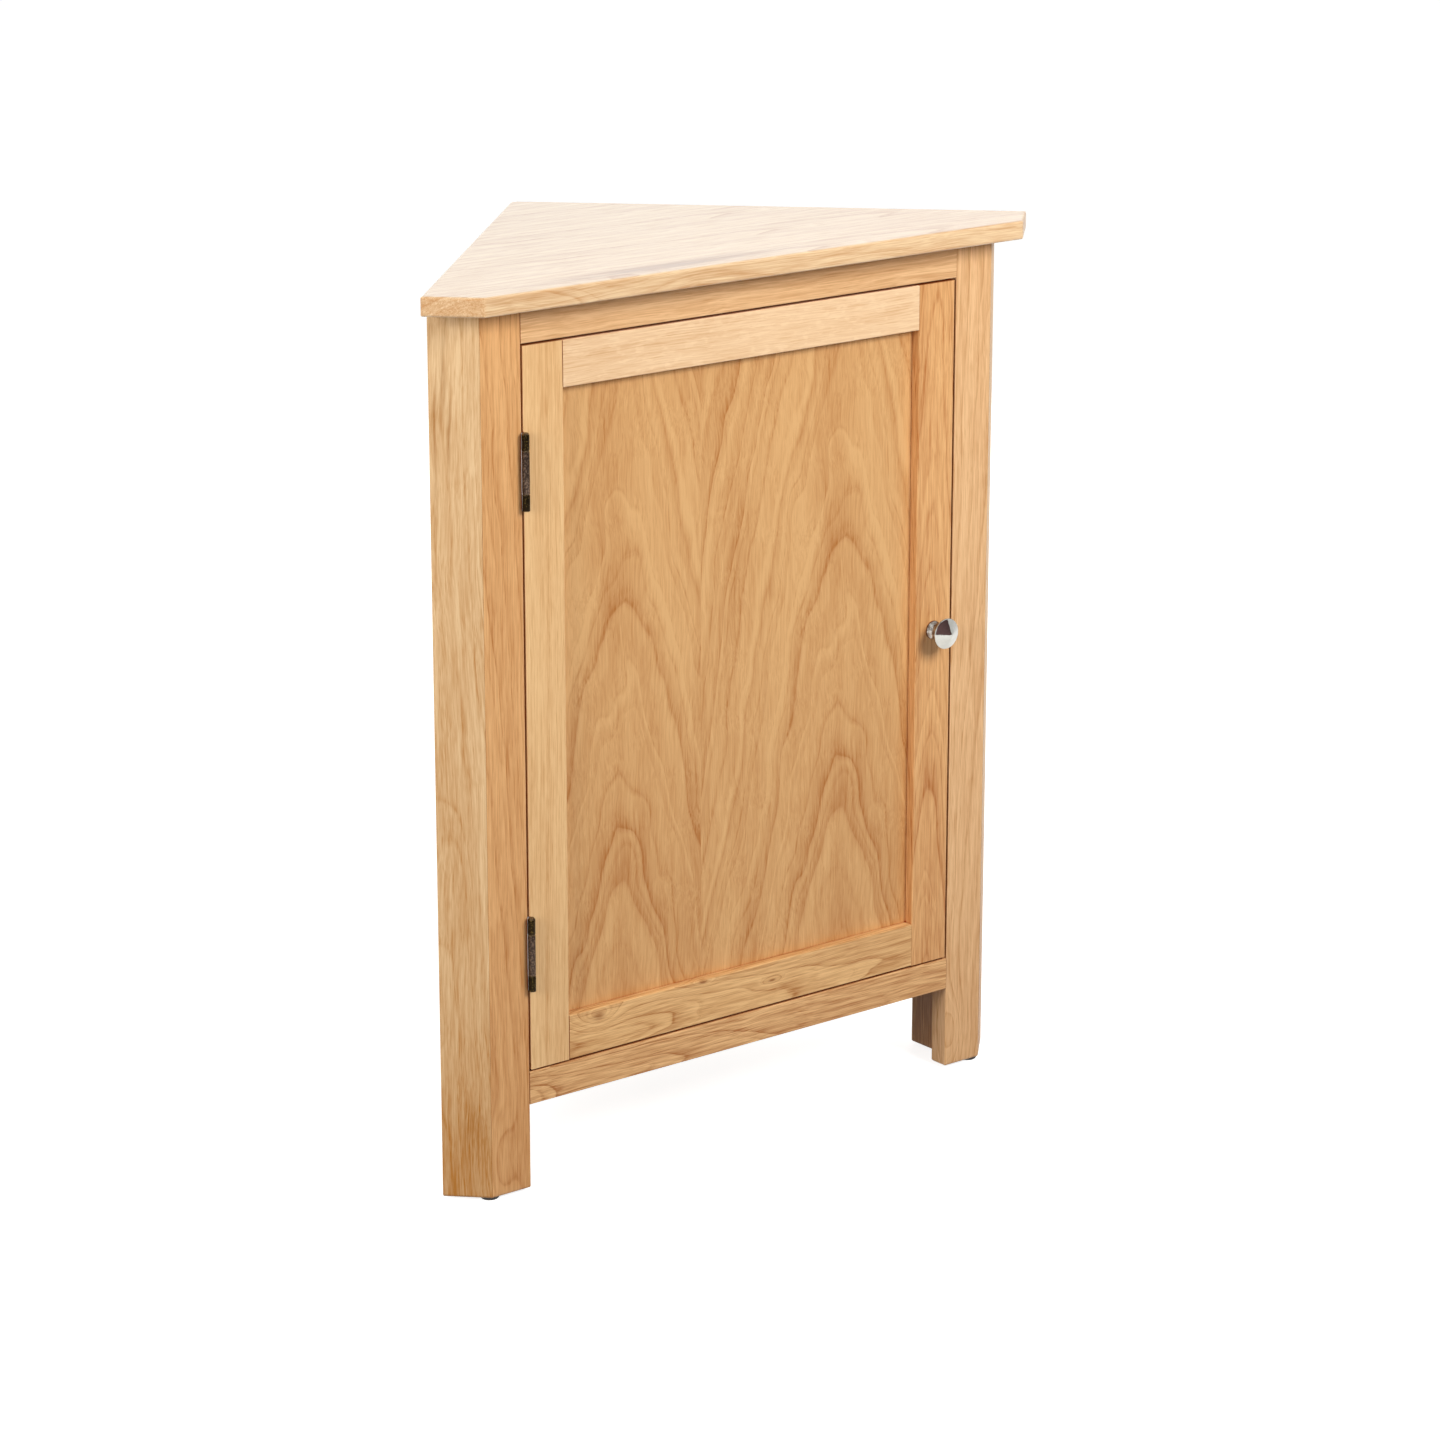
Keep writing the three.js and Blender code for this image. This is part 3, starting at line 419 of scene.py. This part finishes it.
# Floor board and shelf. Veneered boards with their grain along the front, the floor let in
# behind the bottom rail and the shelf lying loose on its pegs.
board_along = (90, 0, 90)
for name, seed in (("floor_board", 19.0), ("shelf", 21.5)):
    low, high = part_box(name)
    finish_node(name, oak_board(
        f"veneer_{name}", (low + high) / 2, board_along, heart=(0.1, 0.04), ring=0.005, slope=0.05,
        seed=seed, pale=(231, 194, 144), dark=(192, 144, 90), sway=0.03, wild=0.03, leaf=0.22))


# Worktop. Solid oak staves glued edge to edge along the front, one with a grey mineral streak, cut
# to five sides, with every edge eased by hand and a harder lacquer on top.
low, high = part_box("worktop")
stave_width = 0.097
mineral_streak = (-0.17, -0.09, 0.045, 0.36, 0.0, 0.8)
front_edge_knot = (-0.192, -0.165, 0.02, 0.05, 0.012, 0.0)
finish_node("worktop", oak_board(
    "oak_worktop", (low + high) / 2, board_along, heart=(0.0, -0.05), ring=0.0045, slope=0.04, seed=23.7,
    pale=(243, 215, 174), dark=(199, 148, 97), sway=0.02, band=0.5, leaf=stave_width,
    burnt=(124, 98, 74), knots=[mineral_streak, front_edge_knot]))
worktop_shader = nodes["worktop"].material_slots[0].material.node_tree.nodes["Principled BSDF"]
worktop_shader.inputs["Coat Weight"].default_value = 0.5
worktop_shader.inputs["Coat Roughness"].default_value = 0.32
worktop_shader.inputs["Sheen Weight"].default_value = 0.24
worktop_shader.inputs["Sheen Tint"].default_value = (0.7, 0.86, 1.0, 1)
worktop_shader.inputs["Sheen Roughness"].default_value = 0.4


# Door stop. An oak strip behind the top rail that the closed door rests against.
low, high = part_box("door_stop")
finish_node("door_stop", oak_board(
    "oak_door_stop", (low + high) / 2, rail_along, heart=(0.03, 0.09), ring=0.004, slope=0.02, seed=27.0,
    pale=(231, 194, 144), dark=(190, 142, 88)))


# Door frame. Two stiles and two rails of solid oak, grooved for the panel and joined with
# stub tenons.
door_middle_y = -0.156
door_middle_z = 0.4575
door_stile_x = 0.231
finish_node("door_stile_left", oak_board(
    "oak_door_stile_left", (-door_stile_x, door_middle_y, door_middle_z), (0, 0, 0), heart=(0.16, 0.05),
    ring=0.0022, slope=0.006, seed=31.0, pale=(242, 203, 150), dark=(196, 141, 84), band=0.28,
    wild=0.002, lines=0.2, soft=0.1))
finish_node("door_stile_right", oak_board(
    "oak_door_stile_right", (door_stile_x, door_middle_y, door_middle_z), (0, 0, 0), heart=(-0.003, 0.016),
    ring=0.0036, slope=0.06, seed=33.0, pale=(236, 186, 128), dark=(178, 110, 54), band=0.45,
    wild=0.006, lines=0.3, painted_foot_shade=0.14))
finish_node("door_rail_top", oak_board(
    "oak_door_rail_top", (0, door_middle_y, 0.7745), rail_along, heart=(0.12, 0.09), ring=0.0022,
    slope=0.008, seed=35.0, pale=(245, 213, 174), dark=(204, 154, 102), band=0.2, wild=0.003, lines=0.2,
    rays=0.15, soft=0.08))
finish_node("door_rail_bottom", oak_board(
    "oak_door_rail_bottom", (0, door_middle_y, 0.1405), rail_along, heart=(0.01, 0.026), ring=0.0026,
    slope=0.03, seed=37.0, pale=(240, 196, 138), dark=(172, 112, 56), sway=0.02, wild=0.006, band=0.6,
    lines=0.32,
    knots=[(-0.013, -0.175, 0.011, 0.026, 0.014, 0.8), (-0.019, -0.053, 0.005, 0.013, 0.008, 0.8),
           (-0.005, 0.031, 0.004, 0.013, 0.008, 0.8)]))


# Door panel. Plywood faced with crown-cut veneer, each leaf slipped sideways beside the last,
# held loose in the frame's groove.
leaf_width = 0.263
leaf_join_x = -0.046
finish_node("door_panel", oak_board(
    "veneer_door_panel", (leaf_join_x - leaf_width, door_middle_y, door_middle_z), (0, 0, 0),
    heart=(0.171, 0.03), ring=0.0112, slope=0.21, seed=41.0, pale=(224, 178, 122), dark=(176, 113, 55),
    sway=0.03, wild=0.034, lump=(15, 15, 5), band=0.36, lines=0.19, tone=0.36, leaf=leaf_width,
    wave=1.1, painted_foot_shade=0.12, soft=0.38))


# Butt hinges. Pressed from antique bronze sheet that is rolled into knuckles round a loose pin.
# The leaves are screwed to the edges of post and door, and handling has rubbed the knuckles' ends bright.
def metal(name, light, deep, smooth, grain, rough, metallic=1.0, scratch=0.06):
    """A metal or plastic whose colour wanders between a light and a deep tone. smooth is how much of it
    is deep, grain how wide the clouding is, rough its polish, and scratch how much that wanders."""
    made = bpy.data.materials.new(name)
    made.use_nodes = True
    tree = made.node_tree
    shader = tree.nodes["Principled BSDF"]
    shader.inputs["Metallic"].default_value = metallic
    place = add_node(tree, "TexCoord").outputs["Object"]
    cloud = add_node(tree, "TexNoise", {"Vector": place, "Scale": 1 / grain, "Detail": 4,
                                        "Roughness": 0.65})
    spots = ramp(tree, cloud.outputs[0], [(smooth, 0.0), (smooth + 0.22, 1.0)])
    colour = add_node(tree, "ValToRGB", {0: spots})
    colour.color_ramp.elements[0].color = tint(*deep)
    colour.color_ramp.elements[1].color = tint(*light)
    tree.links.new(colour.outputs[0], shader.inputs["Base Color"])
    fine = add_node(tree, "TexNoise", {"Vector": place, "Scale": 6 / grain, "Detail": 3})
    tree.links.new(number_step(tree, "MULTIPLY_ADD", fine.outputs[0], scratch * 2, rough - scratch),
                   shader.inputs["Roughness"])
    bump = add_node(tree, "Bump", {"Height": fine.outputs[0], "Strength": 0.12, "Distance": grain * 0.03})
    tree.links.new(bump.outputs[0], shader.inputs["Normal"])
    return made


def lathe(name, middle, turn, profile, steps=48, crease=28):
    """Turns a closed solid about its own Z from (radius, height) pairs, starting from a disc."""
    bpy.ops.object.select_all(action="DESELECT")
    bpy.ops.mesh.primitive_circle_add(vertices=steps, radius=profile[0][0], fill_type="NGON",
                                      location=(0, 0, profile[0][1]))
    shape = bpy.context.object
    shape.name = name
    bpy.ops.object.transform_apply(location=True)
    bpy.ops.object.mode_set(mode="EDIT")
    bpy.ops.mesh.select_all(action="SELECT")
    for (before, low), (after, high) in zip(profile, profile[1:]):
        bpy.ops.mesh.extrude_region_move(TRANSFORM_OT_translate={"value": (0, 0, high - low)})
        share = max(after, 1e-6) / max(before, 1e-6)
        bpy.ops.transform.resize(value=(share, share, 1), center_override=(0, 0, high))
    bpy.ops.mesh.select_all(action="SELECT")
    bpy.ops.mesh.remove_doubles(threshold=1e-6)
    bpy.ops.mesh.normals_make_consistent(inside=False)
    bpy.ops.object.mode_set(mode="OBJECT")
    shape.rotation_euler = [math.radians(a) for a in turn]
    shape.location = middle
    bpy.ops.object.transform_apply(location=True, rotation=True, scale=True)
    bpy.ops.object.shade_smooth_by_angle(angle=math.radians(crease))
    return shape


def leaf_plate(low, high):
    """A thin sheet plate with its edges just broken."""
    bpy.ops.object.select_all(action="DESELECT")
    bpy.ops.mesh.primitive_cube_add(size=1, location=[(a + b) / 2 for a, b in zip(low, high)])
    plate = bpy.context.object
    plate.scale = [b - a for a, b in zip(low, high)]
    bpy.ops.object.transform_apply(location=True, rotation=True, scale=True)
    bpy.ops.object.mode_set(mode="EDIT")
    bpy.ops.mesh.select_all(action="SELECT")
    bpy.ops.mesh.bevel(offset=0.0002, segments=2)
    bpy.ops.object.mode_set(mode="OBJECT")
    return plate


def joined(name, shapes):
    """Makes one piece of several that are welded or pressed together."""
    bpy.ops.object.select_all(action="DESELECT")
    for shape in shapes:
        shape.select_set(True)
    bpy.context.view_layer.objects.active = shapes[0]
    bpy.ops.object.join()
    shapes[0].name = name
    return shapes[0]


bronze = metal("antique_bronze", (136, 114, 98), (62, 51, 44), 0.48, 0.0016, 0.5)
dark_bronze = metal("dark_bronze", (146, 124, 66), (36, 28, 18), 0.55, 0.0013, 0.5)
rubbed_bronze = metal("rubbed_bronze", (176, 154, 120), (84, 68, 50), 0.46, 0.0012, 0.36)
knuckle_radius = 0.0035
knuckle_gap = 0.0003
end_ease = 0.0005
pin_x, pin_y = -0.254, -0.17043


def knuckle(low, high, body):
    """One rolled knuckle of a bronze, its two ends rubbed bright."""
    made = lathe("knuckle", (pin_x, pin_y, 0), (0, 0, 0), [
        (knuckle_radius - end_ease, low), (knuckle_radius - end_ease * 0.3, low + end_ease * 0.35),
        (knuckle_radius, low + end_ease), (knuckle_radius, high - end_ease),
        (knuckle_radius - end_ease * 0.3, high - end_ease * 0.35), (knuckle_radius - end_ease, high)])
    made.data.materials.append(body)
    made.data.materials.append(rubbed_bronze)
    rubbed = 0.8 * end_ease
    for face in made.data.polygons:
        face.material_index = int(face.center.z < low + rubbed or face.center.z > high - rubbed)
    return made


middle_knuckle = 0.039
plate_inset = 0.0006
plate_thickness = 0.001
plate_back = 0.018
neck_back = 0.0053
for place in ("upper", "lower"):
    low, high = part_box(f"hinge_{place}_post_leaf")
    split_low = (low.z + high.z - middle_knuckle) / 2
    split_high = (low.z + high.z + middle_knuckle) / 2
    for part, body, side in (("post", "carcase", -1), ("door", "door", 1)):
        near, far = sorted((pin_x + side * plate_inset, pin_x + side * (plate_inset + plate_thickness)))
        if part == "door":
            sheet = bronze
            rolls = [(split_low, split_high)]
        else:
            sheet = dark_bronze
            rolls = [(low.z, split_low - knuckle_gap), (split_high + knuckle_gap, high.z)]
        shapes = [knuckle(bottom, top, sheet) for bottom, top in rolls]
        plate_front = pin_y + knuckle_radius + knuckle_gap
        shapes.append(leaf_plate((near, plate_front, low.z), (far, pin_y + plate_back, high.z)))
        for bottom, top in rolls:
            shapes.append(leaf_plate((near, pin_y, bottom), (far, pin_y + neck_back, top)))
        rolled = joined(f"rolled_hinge_{place}_{part}", shapes)
        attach(rolled, body)
        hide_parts(f"hinge_{place}_{part}_leaf")
        for level in ("low", "high"):
            finish_node(f"hinge_{place}_{part}_screw_{level}", bronze)
    pin_low, pin_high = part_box(f"hinge_{place}_pin")
    hinge_pin = lathe(f"domed_hinge_pin_{place}", (pin_x, pin_y, 0), (0, 0, 0), [
        (0.0009, pin_low.z - 0.0004), (0.0016, pin_low.z + 0.0002), (0.0016, high.z + 0.00015),
        (0.0027, high.z + 0.0002), (0.0028, high.z + 0.0006), (0.0025, high.z + 0.0011),
        (0.0018, pin_high.z - 0.0001), (0.0006, pin_high.z + 0.0001)], steps=32)
    hinge_pin.data.materials.append(rubbed_bronze)
    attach(hinge_pin, "carcase")
    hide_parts(f"hinge_{place}_pin")


# Knob. Turned from steel bar and chromed: a flared stem that stands on the stile, less well polished,
# clouded brown by a painted reflection of the oak and painted shade from the head, and a bright head
# with a cone for a face, held by a bolt from inside the door.
chrome = metal("polished_chrome", (196, 195, 190), (178, 178, 172), 0.4, 0.02, 0.03, scratch=0.01)
# The stem's brown deep tone is a painted reflection of the oak and painted shade under the head; its
# rougher polish is real.
stem_chrome_with_painted_reflection = metal("stem_chrome_with_painted_reflection", (200, 196, 188), (112, 96, 86), 0.44, 0.006, 0.06, scratch=0.02)
stem_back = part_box("knob_stem")[1].y
head_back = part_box("knob_head")[1].y
turned_stem = lathe("turned_knob_stem", (door_stile_x, stem_back, door_middle_z), (90, 0, 0), [
    (0.0082, 0), (0.0088, 0.0004), (0.0088, 0.0014), (0.0082, 0.002), (0.0068, 0.0034), (0.0057, 0.0052),
    (0.0049, 0.0074), (0.0045, 0.0098), (0.0044, 0.0122), (0.0047, 0.0142), (0.0052, 0.015)])
turned_stem.data.materials.append(stem_chrome_with_painted_reflection)
turned_head = lathe("turned_knob_head", (door_stile_x, head_back, door_middle_z), (90, 0, 0), [
    (0.0052, 0), (0.0075, 0.0005), (0.0112, 0.0017), (0.0141, 0.0031), (0.01485, 0.0036), (0.015, 0.0041),
    (0.01498, 0.00445), (0.01485, 0.00475), (0.01462, 0.00498), (0.0143, 0.0052), (0.0016, 0.01185),
    (0.0006, 0.012)], steps=96, crease=5)
turned_head.data.materials.append(chrome)
for made, node in ((turned_stem, "knob_stem"), (turned_head, "knob_head")):
    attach(made, "door")
    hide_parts(node)


# Screws, bolt, magnet and plates. Zinc-plated steel from stock.
steel = metal("bright_steel", (200, 199, 194), (160, 160, 158), 0.45, 0.002, 0.3)
for name in nodes:
    if "hinge" not in name and ("screw" in name or name in ("catch_magnet", "catch_plate")):
        finish_node(name, steel)


# Shelf pegs. Turned brass pins in holes in the legs and the rear post.
brass = metal("brass_peg", (214, 182, 116), (176, 142, 84), 0.45, 0.002, 0.28)
for name in nodes:
    if name.startswith("shelf_peg"):
        finish_node(name, brass)


# Catch body and glides. Moulded plastic, white behind the top rail and dark under the feet.
white_plastic = metal("white_plastic", (232, 228, 218), (214, 209, 198), 0.45, 0.003, 0.5, metallic=0.0)
dark_plastic = metal("dark_glide", (66, 60, 56), (38, 34, 31), 0.45, 0.002, 0.6, metallic=0.0)
finish_node("catch_body", white_plastic)
for name in ("glide_left", "glide_right", "glide_rear"):
    finish_node(name, dark_plastic)
